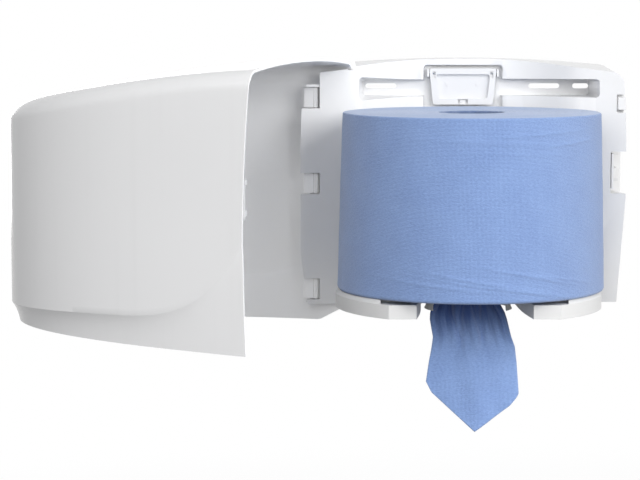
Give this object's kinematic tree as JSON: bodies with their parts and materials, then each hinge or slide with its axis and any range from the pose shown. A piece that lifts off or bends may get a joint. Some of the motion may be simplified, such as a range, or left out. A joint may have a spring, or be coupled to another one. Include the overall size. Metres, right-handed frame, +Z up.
{
  "type": "centrefeed roll dispenser",
  "caption": "Wall-mounted centrefeed paper dispenser, its deep white cover swung open to show a blue roll on its shelf with a folded tail hanging from the nozzle",
  "frame": {"origin": "on the wall face, midway across the body, level with the centre line of the fixing slots", "axes": "+X to the user's right, +Y into the wall, +Z up"},
  "size_m": [0.6487, 0.393, 0.3913],
  "materials": {
    "plate_white": "satin moulded white",
    "cover_white": "polished outside, satin inside",
    "trim_white": "bright moulded white",
    "shelf_grey": "satin pale grey",
    "steel": "plated",
    "blue_paper": "soft creped tissue"
  },
  "bodies": {
    "body": {"back_plate": "plate_white", "hinge_pin_upper": "trim_white", "hinge_pin_middle": "trim_white", "hinge_pin_lower": "trim_white", "guide_clip": "trim_white", "latch_screw": "steel", "flap_pin_left": "steel", "flap_pin_right": "steel", "roll_shelf": "shelf_grey", "shelf_screw_1": "steel", "shelf_screw_2": "steel", "shelf_screw_3": "steel", "shelf_screw_4": "steel", "feed_nozzle": "shelf_grey"},
    "cover": {"cover_shell": "cover_white", "cover_catch": "trim_white", "catch_screw_1": "steel", "catch_screw_2": "steel"},
    "flap": {"centre_flap": "trim_white"},
    "latch": {"latch_slide": "trim_white"},
    "roll": {"paper_roll": "blue_paper"},
    "tail": {"paper_tail": "blue_paper"}
  },
  "joints": [
    {"name": "cover_hinge", "type": "hinge", "parent": "body", "child": "cover", "pos_m": [-0.161, -0.046, -0.1048], "axis": [0, 0, 1], "range_deg": [0, 106.6]},
    {"name": "flap_hinge", "type": "hinge", "parent": "body", "child": "flap", "pos_m": [0.002, -0.0105, 0.0145], "axis": [-1, 0, 0], "range_deg": [0, 80]},
    {"name": "latch_travel", "type": "slide", "parent": "body", "child": "latch", "axis": [0, 0, -1], "range_m": [0, 0.004]},
    {"name": "roll_lift", "type": "slide", "parent": "body", "child": "roll", "axis": [0, 0, 1], "range_m": [0, 0.005]},
    {"name": "tail_pull", "type": "slide", "parent": "roll", "child": "tail", "axis": [0, 0, -1], "range_m": [0, 0.08]}
  ]
}
